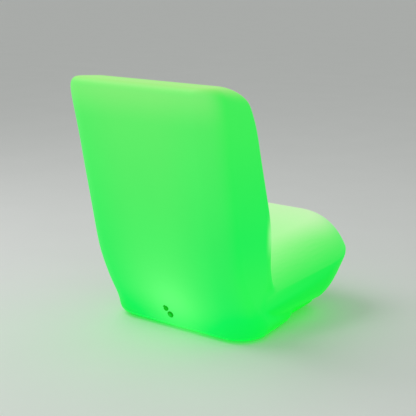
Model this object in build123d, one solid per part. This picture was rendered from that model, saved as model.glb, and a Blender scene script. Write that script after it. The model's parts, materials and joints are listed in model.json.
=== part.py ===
from build123d import *
from math import atan2, cos, degrees, hypot, radians, sin, sqrt
import os

# Light-up lounge seat: a hollow moulded shell that glows from inside.
# Millimetres. X is across the seat, +Y is the way a sitter faces, +Z is up.
# While it is built, Y = 0 is the crease across the rear of the shell, and Z = 0 is the floor.
# Every piece is then moved along Y, so that the origin is under the middle of the whole seat.

# Overall sizes
overall_height = 800.0
foot_gap = 5.0
wall = 5.0
least_corner = 4.0
overrun = 1.0
face_gap = 0.3
running_gap = 0.08

# Back rest
back_top_half = 305.5
back_crease_half = 290.7
back_lean = 105.0
back_top_depth = 187.5
back_crease_depth = 208.2
back_crease_height = 231.0
crook_reach = 230.2
crook_height = 142.0
back_rear_corner = 78.0
back_front_corner = 20.0
top_rear_round = 29.6
top_front_round = 82.0
top_side_rear_round = 13.6
top_side_front_round = 71.0
top_drop = 3.0
top_corner_fall_share = 1.7
crease_blend_share = 0.28
back_bow = 22.0
top_angles = [0, 22.5, 45, 67.5, 90]
straight_shares = [0.3, 0.55, 0.8]

# Rear lobe of the base, under the back rest
lobe_rear_half = 319.0
lobe_front_half = 244.8
lobe_setback = 73.0
lobe_reach = 406.0
lobe_rear_corner = 100.0
lobe_front_corner = 80.0
lobe_bottom_round = 42.0
bottom_angles = [90, 60, 30, 0]

# Seat: a domed cushion form above its side crease, and a front lobe below it
seat_rear = 149.0
seat_front = 699.0
seat_rear_half = 284.0
seat_front_half = 330.0
seat_crease_rear_height = 132.8
seat_crease_front_height = 219.0
seat_front_corner = 185.0
seat_rear_corner = 30.0
seat_dome = 100.0
seat_dome_side = 138.0
seat_dome_front = 80.0
seat_edge_angle = 28.0
seat_shares = [0, 0.22, 0.44, 0.65, 0.83, 1]
seat_corner_fall = 0.6
belly_rear = 169.0
belly_front = 641.0
belly_half = 284.0
belly_corner = 166.0
belly_height_share = 0.5
belly_shares = [0.15, 0.35, 0.55, 0.75, 0.9]
toe_rear = 339.0
toe_front = 609.0
toe_rear_half = 232.0
toe_front_half = 186.0
toe_corner = 68.0
toe_bottom_round = 36.0
toe_lift = 4.0

# Screws, studs and threaded inserts
screw_radius = 2.5
screw_hole_gap = 0.3
screw_head_radius = 4.8
screw_head_height = 2.8
screw_length = 15.0
thread_gap = 0.02
insert_radius = 4.0
insert_length = 10.0
insert_spare = 2.0
drive_flats = 3.0
drive_depth = 1.4
small_screw_radius = 1.5
small_head_radius = 2.75
small_head_height = 2.0
small_drive_flats = 2.0
small_drive_depth = 1.0

# Base hatch in its recess in the underside
hatch_y = 215.0
hatch_radius = 85.0
hatch_thickness = 5.0
hatch_play = 0.6
hatch_opening = 68.0
hatch_rim_width = 8.0
hatch_rim_height = 8.0
hatch_screw_count = 6
hatch_screw_circle = 77.0
hatch_screw_turn = 0.0
hatch_boss_radius = 7.5
spigot_radius = 67.0
spigot_wall = 2.5
spigot_height = 6.0
gasket_thickness = 2.0
gasket_inset = 1.0

# Feet
rear_foot_x = 205.0
rear_foot_y = 167.0
front_foot_x = 125.0
front_foot_y = 509.0
foot_radius = 15.0
foot_pocket = 3.0
foot_edge = 1.5
foot_head_sink = 3.4
foot_head_height = 2.2
foot_head_gap = 0.6
foot_boss_radius = 19.0

# Breather in the underside of the front lobe
vent_y = 449.0
vent_flange_radius = 8.0
vent_flange = 2.0
vent_barrel_radius = 5.0
vent_barrel_height = 7.0
vent_bore_radius = 2.6
vent_seat_radius = 4.05
vent_seat_depth = 4.0
vent_fit_gap = 0.05
membrane_thickness = 0.5

# Light module, carried on the hatch by four pillars
module_circle = 60.0
pillar_boss_radius = 5.0
pillar_boss_height = 8.0
pillar_flats = 5.5
pillar_height = 27.0
stud_length = 6.0
pillar_thread_depth = 9.0
plate_radius = 66.0
plate_thickness = 2.0
plate_hole_radius = 6.0
board_radius = 64.0
board_thickness = 1.6
board_hole_radius = 3.0
clear_hole_radius = 1.7
dome_flange_radius = 65.0
dome_flange = 2.0
dome_radius = 54.0
dome_height = 26.0
dome_wall = 2.0
module_screw_length = 12.0
light_size = 5.0
light_height = 1.6
light_rings = [(8, 29.0), (14, 44.0)]
light_plug_size = 8.0
light_plug_height = 5.0

# Battery pack on its tray
cell_radius = 9.1
cell_length = 65.0
cell_pitch = 19.0
cell_count = 3
cell_first_x = -43.5
sleeve_gap = 0.1
sleeve_wall = 0.3
tray_thickness = 3.0
tray_margin = 0.4
tray_rib_y = 21.0
tray_rib_width = 4.0
tray_rib_height = 7.0
tray_screw_length = 6.0
tray_screw_y = 12.0
strap_width = 14.0
strap_thickness = 1.0
strap_gap = 0.2
link_thickness = 0.3
link_width = 6.0
guard_length = 31.0
guard_height = 9.0
guard_thickness = 1.0
guard_chip = 1.2

# Control board under its cover
board_low_x = 12.0
board_high_x = 50.0
board_half_depth = 28.0
post_radius = 3.0
post_height = 10.0
post_inset = 4.0
control_thickness = 1.6
board_screw_radius = 1.25
board_screw_length = 8.0
board_head_radius = 2.3
board_head_height = 1.5
cover_wall = 1.5
cover_gap = 1.5
cover_height = 26.0
cover_tab = 6.0
cover_tab_width = 8.0
cover_tab_thickness = 2.0
cover_screw_length = 6.0
plug_width = 8.0
plug_height = 5.6
plug_depth = 12.0
plug_inset = 6.0
plug_slot_gap = 0.5
chip_size = 7.0
chip_height = 1.0
coil_radius = 4.0
coil_height = 5.0
can_radius = 3.0
can_height = 8.0
receiver_width = 10.0
receiver_thickness = 1.0
receiver_height = 11.0

# Rear panel seats for the switch and the charging socket
seat_sink = 1.0
panel_pad = 8.0
pad_radius = 14.0
seat_margin = 0.8

# Power switch
switch_x = -5.0
switch_height = 54.0
switch_flange_radius = 11.0
switch_flange = 2.6
switch_seal = 1.2
switch_seal_width = 2.0
switch_barrel_radius = 8.0
switch_barrel_length = 20.0
switch_chamber_radius = 7.0
switch_floor = 5.0
switch_lip = 2.0
switch_edge = 0.8
barrel_hole_gap = 0.2
button_radius = 6.2
button_proud = 1.8
button_collar_radius = 6.8
button_collar = 5.0
button_travel = 2.0
button_stop_gap = 0.1
button_edge = 0.6
button_pocket_radius = 5.2
button_pocket = 3.0
stem_radius = 1.6
stem_length = 6.0
bridge_radius = 3.9
bridge_thickness = 1.0
spring_radius = 4.6
spring_wire = 0.3
spring_turns = 6
blade_x = 3.0
blade_thickness = 0.8
blade_width = 1.6
blade_tail = 6.0
blade_gap = 0.05
nut_thickness = 3.5
switch_nut_flats = 19.0
lead_plug_width = 10.0
lead_plug_depth = 6.0
lead_plug_length = 9.0
lead_plug_stop = 1.0

# Charging socket with its hinged cap
socket_x = -16.0
socket_height = 74.0
socket_flange_radius = 8.5
socket_flange = 2.4
socket_seal = 1.0
socket_seal_width = 1.7
socket_barrel_radius = 6.0
socket_barrel_length = 16.0
socket_bore_radius = 2.85
socket_floor = 6.5
socket_edge = 0.4
socket_nut_flats = 14.0
socket_nut_thickness = 3.0
pin_radius = 1.0
pin_recess = 2.9
hinge_reach = 10.4
hinge_rise = 1.2
knuckle_radius = 1.5
knuckle_half = 1.6
ear_gap = 0.2
ear_thickness = 1.6
ear_lift = 0.8
hinge_pin_radius = 0.7
hinge_pin_gap = 0.05
cap_radius = 8.2
cap_thickness = 1.8
cap_lift = 0.3
cap_edge = 0.6
cap_stem_radius = 2.4
cap_stem = 1.9

# Leads inside the shell
lead_radius = 1.5
lead_bend = 6.0
lead_high = 72.0
lead_low = 30.0
lead_level = 40.5
lead_loop = 12.0


# Shapes shared by several pieces

def disc(radius, low, high, x=0, y=0):
    """Upright cylinder between two heights."""
    return Pos(x, y, low) * extrude(Circle(radius), high - low)


def tube(outer, inner, low, high, x=0, y=0):
    """Upright ring between two heights."""
    return Pos(x, y, low) * extrude(Circle(outer) - Circle(inner), high - low)


def block(x_low, x_high, y_low, y_high, z_low, z_high):
    """Box between two corners."""
    size = (x_high - x_low, y_high - y_low, z_high - z_low)
    return Pos((x_low + x_high) / 2, (y_low + y_high) / 2, (z_low + z_high) / 2) * Box(*size)


def hexagon(across_flats, low, high, x=0, y=0):
    """Upright hexagonal bar between two heights."""
    outline = RegularPolygon(across_flats / sqrt(3), 6)
    return Pos(x, y, low) * extrude(outline, high - low)


def around(count, circle, x, y, turn=0):
    """Centres evenly spaced on a circle."""
    angles = [radians(turn + 360 * i / count) for i in range(count)]
    return [(x + circle * cos(a), y + circle * sin(a)) for a in angles]


def together(shapes):
    """Separate solids held as one group."""
    return Compound([solid for shape in shapes for solid in shape.solids()])


def cone(low_radius, high_radius, low, high, x=0, y=0):
    """Upright cone between two heights."""
    return Pos(x, y, (low + high) / 2) * Cone(low_radius, high_radius, high - low)


def pan_screw(radius, length, head_radius, head_height, flats, drive):
    """Screw pointing up from its seat at Z = 0, with its flat head below."""
    body = disc(head_radius, -head_height, 0) + disc(radius, 0, length)
    return body - hexagon(flats, -head_height, drive - head_height)


def flat_screw(radius, length, head_radius, head_height, flats, drive):
    """Screw pointing up, whose sunk head is flush at Z = 0."""
    body = cone(head_radius, radius, 0, head_height) + disc(radius, 0, length)
    return body - hexagon(flats, 0, drive)


def lead(points):
    """Round lead along straight runs joined by arcs."""
    path = FilletPolyline(*points, radius=lead_bend)
    return sweep(Plane(origin=path @ 0, z_dir=path % 0) * Circle(lead_radius), path)


# Shell form: rounded outlines on slanting planes, joined by smooth lofts

def outline(section, inset):
    """Rounded trapezoid through a rear and a front (y, z) point, drawn in by an inset all round."""
    rear_y, rear_z, front_y, front_z, rear_half, front_half, rear_corner, front_corner = section
    run = hypot(front_y - rear_y, front_z - rear_z)
    slope = degrees(atan2(front_z - rear_z, front_y - rear_y))
    near, far = inset, run - inset
    half_near, half_far = rear_half - inset, front_half - inset
    corners = [(-half_near, near), (half_near, near), (half_far, far), (-half_far, far)]
    face = make_face(Polyline(*corners, close=True))
    face = fillet(face.vertices().sort_by(Axis.Y)[:2], max(rear_corner - inset, least_corner))
    face = fillet(face.vertices().sort_by(Axis.Y)[-2:], max(front_corner - inset, least_corner))
    return Pos(0, rear_y, rear_z) * Rot(slope, 0, 0) * face


def mix(first, second, share):
    """Section part of the way from one section to another."""
    return [a + (b - a) * share for a, b in zip(first, second)]


def bend(first, corner, last, share=0.5):
    """Section on the curve that rounds off the corner between two sections."""
    return mix(mix(first, corner, share), mix(corner, last, share), share)


def bulge(first, middle, last, share):
    """Section on the curve that swells through a middle section from one section to another."""
    corner = mix(mix(first, last, 0.5), middle, 2)
    return bend(first, corner, last, share)


def bowed(section, share):
    """Section with its front edge pushed out, most of all half way up."""
    push = back_bow * share * (1 - share) * 4
    return section[:2] + [section[2] + push] + section[3:]


def lobe_section(angle, skin):
    """Rear lobe's bottom rounding at an angle, 0 where it meets the side and 90 at the floor."""
    sunk = (lobe_bottom_round - skin) * (1 - cos(radians(angle)))
    height = foot_gap + lobe_bottom_round - (lobe_bottom_round - skin) * sin(radians(angle))
    flat = [lobe_setback, height, lobe_reach, height, lobe_rear_half, lobe_front_half]
    return outline(flat + [lobe_rear_corner, lobe_front_corner], skin + sunk)


def tower(skin):
    """Back rest and rear lobe as one upright form, whose walls lie a skin inside the surface."""
    rings = [lobe_section(angle, skin) for angle in bottom_angles]
    height = foot_gap + lobe_bottom_round
    low = [lobe_setback, height, lobe_reach, height, lobe_rear_half, lobe_front_half]
    low += [lobe_rear_corner, lobe_front_corner]
    crease = [0, back_crease_height, crook_reach, crook_height, back_crease_half, back_crease_half]
    crease += [back_rear_corner, back_front_corner]
    lean = back_lean / (overall_height - back_crease_height)
    thinning = (back_top_depth - back_crease_depth) / (overall_height - back_crease_height)
    rear_z = overall_height - top_rear_round
    front_z = overall_height - top_drop - top_front_round
    rear_y = -lean * (rear_z - back_crease_height)
    front_y = back_crease_depth + (thinning - lean) * (front_z - back_crease_height)
    high = [rear_y, rear_z, front_y, front_z, back_top_half, back_top_half]
    high += [back_rear_corner, back_front_corner]
    before = mix(low, crease, 1 - crease_blend_share)
    after = mix(crease, high, crease_blend_share / 2)
    rings.append(outline(mix(low, crease, (1 - crease_blend_share) / 2), skin))
    rings.append(outline(before, skin))
    rings.append(outline(bend(before, crease, after), skin))
    rings.append(outline(after, skin))
    rings += [outline(bowed(mix(crease, high, share), share), skin) for share in straight_shares]
    for angle in top_angles:
        rings.append(top_section(high, (-lean, thinning - lean), angle, skin))
    return loft(rings)


def top_section(high, leans, angle, skin):
    """Back rest's top rounding at an angle, 0 where it starts and 90 at the flat top.

    The leans are how far the rear and the front run forwards for each unit of height.
    """
    fall = 1 - cos(radians(angle))
    rise = sin(radians(angle))
    rear_y, rear_z, front_y, front_z, rear_half, front_half, rear_corner, front_corner = high
    rear_sunk = (top_rear_round - skin) * fall
    front_sunk = (top_front_round - skin) * fall
    side_rear_sunk = (top_side_rear_round - skin) * fall
    side_front_sunk = (top_side_front_round - skin) * fall
    rear_rise = (top_rear_round - skin) * rise
    front_rise = (top_front_round - skin) * rise
    section = [rear_y + rear_sunk + leans[0] * rear_rise, rear_z + rear_rise]
    section += [front_y - front_sunk + leans[1] * front_rise, front_z + front_rise]
    section += [rear_half - side_rear_sunk, front_half - side_front_sunk]
    rear_corner -= rear_sunk * top_corner_fall_share
    section += [max(rear_corner, least_corner), front_corner]
    return outline(section, skin)


def seat_dome_section(share, skin):
    """Cushion form's outline, from share 0 at the side crease to 1 at the flat of the dome."""
    angle = radians(seat_edge_angle + (90 - seat_edge_angle) * share)
    start = radians(seat_edge_angle)
    fall = 1 - cos(angle) / cos(start)
    rise = (seat_dome - skin) * (sin(angle) - sin(start)) / (1 - sin(start))
    side_sunk = (seat_dome_side - skin) * fall
    front_sunk = (seat_dome_front - skin) * fall
    corner = seat_front_corner - side_sunk * seat_corner_fall
    section = [seat_rear, seat_crease_rear_height + rise]
    section += [seat_front - front_sunk, seat_crease_front_height + rise]
    section += [seat_rear_half - side_sunk, seat_front_half - side_sunk]
    return outline(section + [seat_rear_corner, corner], skin)


def toe_section(angle, skin):
    """Front lobe's bottom rounding at an angle, 0 where it meets the belly and 90 at the floor."""
    sunk = (toe_bottom_round - skin) * (1 - cos(radians(angle)))
    height = foot_gap + toe_lift + toe_bottom_round
    height -= (toe_bottom_round - skin) * sin(radians(angle))
    section = [toe_rear, height, toe_front, height, toe_rear_half, toe_front_half]
    return outline(section + [seat_rear_corner, toe_corner], skin + sunk)


def seat_form(skin):
    """Cushion form and front lobe, whose walls lie a skin inside the surface."""
    crease_slope = seat_crease_front_height - seat_crease_rear_height
    crease_slope = crease_slope / (seat_front - seat_rear)
    belly_rear_z = seat_crease_rear_height + crease_slope * (belly_rear - seat_rear)
    belly_front_z = seat_crease_rear_height + crease_slope * (belly_front - seat_rear)
    belly = [belly_rear, belly_rear_z * belly_height_share]
    belly += [belly_front, belly_front_z * belly_height_share, belly_half, belly_half]
    belly += [seat_rear_corner, belly_corner]
    height = foot_gap + toe_lift + toe_bottom_round
    toe = [toe_rear, height, toe_front, height, toe_rear_half, toe_front_half]
    toe += [seat_rear_corner, toe_corner]
    crease = [seat_rear, seat_crease_rear_height, seat_front, seat_crease_front_height]
    crease += [seat_rear_half, seat_front_half, seat_rear_corner, seat_front_corner]
    lower = [toe_section(angle, skin) for angle in bottom_angles]
    lower += [outline(bulge(toe, belly, crease, share), skin) for share in belly_shares]
    lower.append(outline(crease, skin))
    upper = [seat_dome_section(share, skin) for share in seat_shares]
    return loft(lower) + loft(upper)


# Heights that several pieces share
hatch_top = foot_gap + hatch_thickness
gasket_top = hatch_top + gasket_thickness
pocket_top = foot_gap + foot_pocket
pillar_foot = hatch_top + pillar_boss_height
pillar_top = pillar_foot + pillar_height
plate_top = pillar_top + plate_thickness
board_top = plate_top + board_thickness
dome_flange_top = board_top + dome_flange
tray_top = hatch_top + tray_thickness
sleeve_radius = cell_radius + sleeve_gap + sleeve_wall
cell_z = tray_top + sleeve_radius + sleeve_gap
control_low = hatch_top + post_height
control_top = control_low + control_thickness
tab_top = hatch_top + cover_tab_thickness

# Places that several pieces share
hatch_screws = around(hatch_screw_count, hatch_screw_circle, 0, hatch_y, hatch_screw_turn)
pillars = around(4, module_circle, 0, hatch_y)
rear_feet = [(side * rear_foot_x, rear_foot_y) for side in (-1, 1)]
front_feet = [(side * front_foot_x, front_foot_y) for side in (-1, 1)]
feet = rear_feet + front_feet
cells = [cell_first_x + i * cell_pitch for i in range(cell_count)]
tray_low_x = cells[0] - sleeve_radius - tray_margin
tray_high_x = cells[-1] + sleeve_radius + tray_margin
tray_half = cell_length / 2 + tray_margin
tray_screw_x = [x + cell_pitch / 2 for x in cells[:-1]]
tray_screws = [(x, hatch_y + side * tray_screw_y) for x in tray_screw_x for side in (-1, 1)]
board_middle_x = (board_low_x + board_high_x) / 2
post_x = [board_low_x + post_inset, board_high_x - post_inset]
post_reach = board_half_depth - post_inset
posts = [(x, hatch_y + side * post_reach) for x in post_x for side in (-1, 1)]
cover_reach = board_half_depth + cover_gap + cover_wall
tab_reach = cover_reach + cover_tab / 2
cover_screws = [(board_middle_x, hatch_y + side * tab_reach) for side in (-1, 1)]
plug_x = [board_middle_x - plug_inset, board_middle_x + plug_inset]
plug_z = control_top + plug_height / 2
rear_slope = atan2(lobe_setback, back_crease_height - foot_gap - lobe_bottom_round)


def on_rear(x, height):
    """Place on the lower rear face, sunk by the seat's depth, where local +Z points out of the shell."""
    rise = back_crease_height - height
    y = rise * lobe_setback / (back_crease_height - foot_gap - lobe_bottom_round)
    out = (0, -cos(rear_slope), -sin(rear_slope))
    origin = (x, y - out[1] * seat_sink, height - out[2] * seat_sink)
    return Plane(origin=origin, x_dir=(1, 0, 0), z_dir=out).location


switch_place = on_rear(switch_x, switch_height)
socket_rise = (socket_height - switch_height) / cos(rear_slope)
socket_turn = degrees(atan2(switch_x - socket_x, socket_rise))
socket_place = on_rear(socket_x, socket_height) * Rot(0, 0, socket_turn)


# Shell

def make_shell():
    """Hollow moulded body with its bosses, recess, pockets and panel seats."""
    shell = (tower(0) + seat_form(0)) - (tower(wall) + seat_form(wall))
    root = foot_gap + wall / 2
    rim_top = gasket_top + hatch_rim_height
    shell += disc(hatch_radius + hatch_rim_width, root, rim_top, 0, hatch_y)
    boss_depth = insert_length + insert_spare
    for x, y in hatch_screws:
        shell += disc(hatch_boss_radius, gasket_top, gasket_top + boss_depth + wall, x, y)
    for x, y in rear_feet:
        shell += disc(foot_boss_radius, root, pocket_top + boss_depth + wall, x, y)
    for x, y in front_feet:
        shell += disc(foot_boss_radius, foot_gap, pocket_top + boss_depth + wall, x, y)
    for place in (switch_place, socket_place):
        shell += place * disc(pad_radius, -panel_pad, -seat_sink)
    shell -= disc(hatch_radius + hatch_play, foot_gap - overrun, gasket_top, 0, hatch_y)
    shell -= disc(hatch_opening, gasket_top - overrun, rim_top + overrun, 0, hatch_y)
    for x, y in hatch_screws:
        shell -= disc(insert_radius + thread_gap, gasket_top - overrun, gasket_top + boss_depth, x, y)
    for x, y in feet:
        shell -= disc(foot_radius + face_gap, foot_gap - overrun, pocket_top, x, y)
        shell -= disc(insert_radius + thread_gap, pocket_top - overrun, pocket_top + boss_depth, x, y)
    vent_top = foot_gap + toe_lift + wall + overrun
    shell -= disc(vent_barrel_radius + vent_fit_gap, foot_gap - overrun, vent_top, 0, vent_y)
    for place, flange, barrel in (
        (switch_place, switch_flange_radius, switch_barrel_radius),
        (socket_place, socket_flange_radius, socket_barrel_radius),
    ):
        shell -= place * disc(flange + seat_margin, 0, panel_pad)
        shell -= place * disc(barrel + barrel_hole_gap, -panel_pad - overrun, overrun)
    return shell


def make_inserts(places, low):
    """Brass sleeves with a threaded bore, moulded into the shell's bosses."""
    high = low + insert_length
    return [tube(insert_radius, screw_radius + thread_gap, low, high, x, y) for x, y in places]


def make_feet():
    """Four rubber pads, each with a sunk hole for its screw."""
    pads = []
    for x, y in feet:
        pad = disc(foot_radius, 0, pocket_top, x, y)
        pad = fillet(pad.edges().group_by(Axis.Z)[0], foot_edge)
        pad -= disc(foot_head_radius(), -overrun, foot_head_sink, x, y)
        pad -= disc(screw_radius + screw_hole_gap, 0, pocket_top + overrun, x, y)
        pads.append(pad)
    return pads


def foot_head_radius():
    """Radius of the pad's sunk hole round the screw's head."""
    return screw_head_radius + foot_head_gap


def make_foot_screws():
    """Pan-head screws that hold the pads."""
    screw = pan_screw(
        screw_radius, screw_length, screw_head_radius, foot_head_height, drive_flats, drive_depth
    )
    return [Pos(x, y, foot_head_sink) * screw for x, y in feet]


def make_vent():
    """Breather plug pushed into the underside."""
    underside = foot_gap + toe_lift
    high = underside + vent_barrel_height
    plug = disc(vent_flange_radius, underside - vent_flange, underside, 0, vent_y)
    plug += disc(vent_barrel_radius, underside, high, 0, vent_y)
    plug -= disc(vent_bore_radius, foot_gap - overrun, high + overrun, 0, vent_y)
    return plug - disc(vent_seat_radius, high - vent_seat_depth, high + overrun, 0, vent_y)


def make_membrane():
    """Thin disc that lets air but no water through the breather."""
    low = foot_gap + toe_lift + vent_barrel_height - vent_seat_depth
    return disc(vent_seat_radius - vent_fit_gap, low, low + membrane_thickness, 0, vent_y)


# Base hatch

def make_hatch():
    """Round cover of the base opening, which carries the whole light module."""
    hatch = disc(hatch_radius, foot_gap, hatch_top, 0, hatch_y)
    inner = spigot_radius - spigot_wall
    hatch += tube(spigot_radius, inner, hatch_top, hatch_top + spigot_height, 0, hatch_y)
    for x, y in pillars:
        hatch += disc(pillar_boss_radius, hatch_top, pillar_foot, x, y)
    for x, y in posts:
        hatch += disc(post_radius, hatch_top, control_low, x, y)
    hole = screw_radius + screw_hole_gap
    sink_top = foot_gap + screw_head_height
    for x, y in hatch_screws:
        hatch -= disc(hole, foot_gap - overrun, hatch_top + overrun, x, y)
        hatch -= cone(screw_head_radius + screw_hole_gap, hole, foot_gap, sink_top, x, y)
    stud_hole = small_screw_radius + thread_gap
    for x, y in pillars:
        hatch -= disc(stud_hole, pillar_foot - stud_length - thread_gap, pillar_foot + overrun, x, y)
    for x, y in posts:
        low = control_top - board_screw_length - thread_gap
        hatch -= disc(board_screw_radius + thread_gap, low, control_low + overrun, x, y)
    for x, y in tray_screws:
        low = tray_top - tray_screw_length - thread_gap
        hatch -= disc(stud_hole, low, hatch_top + overrun, x, y)
    for x, y in cover_screws:
        low = tab_top - cover_screw_length - thread_gap
        hatch -= disc(stud_hole, low, hatch_top + overrun, x, y)
    return hatch


def make_gasket():
    """Flat rubber ring between the hatch and the shell."""
    inner = hatch_opening + gasket_inset
    ring = tube(hatch_radius - gasket_inset, inner, hatch_top, gasket_top, 0, hatch_y)
    for x, y in hatch_screws:
        ring -= disc(screw_radius + screw_hole_gap, hatch_top - overrun, gasket_top + overrun, x, y)
    return ring


def make_hatch_screws():
    """Flush screws round the hatch."""
    screw = flat_screw(
        screw_radius, screw_length, screw_head_radius, screw_head_height, drive_flats, drive_depth
    )
    return [Pos(x, y, foot_gap) * screw for x, y in hatch_screws]


# Light module

def make_pillars():
    """Hexagonal brass pillars with a stud below and a threaded hole above."""
    shapes = []
    for x, y in pillars:
        pillar = hexagon(pillar_flats, pillar_foot, pillar_top, x, y)
        pillar += disc(small_screw_radius, pillar_foot - stud_length, pillar_foot, x, y)
        low = pillar_top - pillar_thread_depth
        shapes.append(pillar - disc(small_screw_radius + thread_gap, low, pillar_top + overrun, x, y))
    return shapes


def drilled(shape, low, high):
    """A plate of the module with the four clearance holes of its screws."""
    for x, y in pillars:
        shape -= disc(clear_hole_radius, low - overrun, high + overrun, x, y)
    return shape


def make_heat_plate():
    """Aluminium disc that carries the light board and spreads its heat."""
    plate = tube(plate_radius, plate_hole_radius, pillar_top, plate_top, 0, hatch_y)
    return drilled(plate, pillar_top, plate_top)


def make_light_board():
    """Round circuit board of the lights."""
    board = tube(board_radius, board_hole_radius, plate_top, board_top, 0, hatch_y)
    return drilled(board, plate_top, board_top)


def make_lights():
    """Square light packages in two rings."""
    chip = block(
        -light_size / 2, light_size / 2, -light_size / 2, light_size / 2, board_top, board_top + light_height
    )
    shapes = []
    for count, circle in light_rings:
        for i in range(count):
            shapes.append(Pos(0, hatch_y, 0) * Rot(0, 0, 360 * i / count) * Pos(circle, 0, 0) * chip)
    return shapes


def make_light_plug():
    """Connector in the middle of the light board."""
    half = light_plug_size / 2
    return block(-half, half, hatch_y - half, hatch_y + half, board_top, board_top + light_plug_height)


def make_dome():
    """Opal cap over the lights, with the flange that its screws hold."""
    sphere = (dome_radius**2 + dome_height**2) / (2 * dome_height)
    centre = Pos(0, hatch_y, board_top + dome_height - sphere)
    top = board_top + dome_height + overrun
    room = disc(dome_flange_radius, board_top, top, 0, hatch_y)
    dome = disc(dome_flange_radius, board_top, dome_flange_top, 0, hatch_y)
    dome += (centre * Sphere(sphere)) & room
    dome -= centre * Sphere(sphere - dome_wall)
    return drilled(dome, board_top, dome_flange_top)


def make_module_screws():
    """Screws through dome, board and plate into the pillars."""
    screw = small_pan(module_screw_length)
    return [Pos(x, y, dome_flange_top) * Rot(180, 0, 0) * screw for x, y in pillars]


def small_pan(length):
    """Small pan-head screw of a given length."""
    return pan_screw(
        small_screw_radius, length, small_head_radius, small_head_height, small_drive_flats, small_drive_depth
    )


# Battery pack

def make_tray():
    """Tray under the cells, with two notched ribs and a channel for the strap."""
    tray = block(tray_low_x, tray_high_x, hatch_y - tray_half, hatch_y + tray_half, hatch_top, tray_top)
    rib_top = tray_top + tray_rib_height
    for side in (-1, 1):
        y = hatch_y + side * tray_rib_y
        low, high = y - tray_rib_width / 2, y + tray_rib_width / 2
        tray += block(tray_low_x, tray_high_x, low, high, tray_top, rib_top)
    long = cell_length + 2 * tray_margin + 2 * overrun
    tray -= pack_form(sleeve_radius + sleeve_gap, long)
    half = strap_width / 2 + strap_gap
    channel_top = hatch_top + strap_thickness + 2 * strap_gap
    low_x, high_x = tray_low_x - overrun, tray_high_x + overrun
    tray -= block(low_x, high_x, hatch_y - half, hatch_y + half, hatch_top - overrun, channel_top)
    for x, y in tray_screws:
        tray -= disc(clear_hole_radius, hatch_top - overrun, tray_top + overrun, x, y)
        tray -= cone(clear_hole_radius, small_head_radius + thread_gap, hatch_top, tray_top, x, y)
    return tray


def pack_form(radius, length):
    """Flat-sided round-ended bar of a given radius round the row of cells."""
    span = cells[-1] - cells[0]
    bar = extrude(SlotCenterToCenter(span, 2 * radius), length / 2, both=True)
    return Pos((cells[0] + cells[-1]) / 2, hatch_y, cell_z) * Rot(90, 0, 0) * bar


def make_tray_screws():
    """Sunk screws between the cells' troughs."""
    screw = flat_screw(
        small_screw_radius, tray_screw_length, small_head_radius, small_head_height,
        small_drive_flats, small_drive_depth,
    )
    return [Pos(x, y, tray_top) * Rot(180, 0, 0) * screw for x, y in tray_screws]


def make_cells():
    """Row of round cells."""
    cell = Rot(90, 0, 0) * extrude(Circle(cell_radius), cell_length / 2, both=True)
    return [Pos(x, hatch_y, cell_z) * cell for x in cells]


def make_sleeve():
    """Shrink sleeve round the cells."""
    length = cell_length + 2 * link_thickness
    return pack_form(sleeve_radius, length) - pack_form(sleeve_radius - sleeve_wall, length + overrun)


def make_links():
    """Metal strips that join the cells at each end."""
    low_x, high_x = cells[0] - link_width / 2, cells[-1] + link_width / 2
    low_z, high_z = cell_z - link_width / 2, cell_z + link_width / 2
    strips = []
    for side in (-1, 1):
        end = side * cell_length / 2
        low, high = sorted((hatch_y + end, hatch_y + end + side * link_thickness))
        strips.append(block(low_x, high_x, low, high, low_z, high_z))
    return strips


def make_guard():
    """Small protection board on the front end of the pack."""
    middle = (cells[0] + cells[-1]) / 2
    low = hatch_y + cell_length / 2 + link_thickness
    high = low + guard_thickness
    half = guard_length / 2
    board = block(
        middle - half, middle + half, low, high, cell_z - guard_height / 2, cell_z + guard_height / 2
    )
    for side in (-1, 1):
        x = middle + side * half / 2
        chip = guard_chip
        board += block(x - chip, x + chip, high, high + chip, cell_z - chip, cell_z + chip)
    return board


def make_strap():
    """Band round the cells, through the tray's channel."""
    low_x, high_x = tray_low_x - strap_gap - strap_thickness, tray_high_x + strap_gap + strap_thickness
    low_z = hatch_top + strap_gap
    high_z = cell_z + sleeve_radius + strap_gap + strap_thickness
    wide, tall = high_x - low_x, high_z - low_z
    outer = RectangleRounded(wide, tall, strap_thickness + strap_gap)
    inner = RectangleRounded(wide - 2 * strap_thickness, tall - 2 * strap_thickness, strap_gap)
    band = extrude(outer - inner, strap_width / 2, both=True)
    return Pos((low_x + high_x) / 2, hatch_y, (low_z + high_z) / 2) * Rot(90, 0, 0) * band


# Control board and its cover

def make_control_board():
    """Driver board on the hatch's posts."""
    low, high = hatch_y - board_half_depth, hatch_y + board_half_depth
    board = block(board_low_x, board_high_x, low, high, control_low, control_top)
    for x, y in posts:
        board -= disc(clear_hole_radius, control_low - overrun, control_top + overrun, x, y)
    return board


def make_control_parts():
    """Processor, coil, capacitors and output transistors."""
    half = chip_size / 2
    left, right = board_low_x + chip_size * 1.6, board_high_x - chip_size
    near, far = hatch_y - chip_size, hatch_y + chip_size
    chip_top = control_top + chip_height
    shapes = [block(left - half, left + half, near - half, near + half, control_top, chip_top)]
    shapes.append(disc(coil_radius, control_top, control_top + coil_height, right, near))
    for x in (board_middle_x, right):
        shapes.append(disc(can_radius, control_top, control_top + can_height, x, far))
    size = chip_size / 3
    for i in (-1, 0, 1):
        y = far + i * chip_size * 0.8
        shapes.append(block(left - size, left + size, y - size, y + size, control_top, chip_top))
    return shapes


def make_receiver():
    """Upright radio receiver board of the colour control."""
    half = receiver_width / 2
    low, high = hatch_y - receiver_thickness / 2, hatch_y + receiver_thickness / 2
    low_x, high_x = board_middle_x - half, board_middle_x + half
    return block(low_x, high_x, low, high, control_top, control_top + receiver_height)


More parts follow.
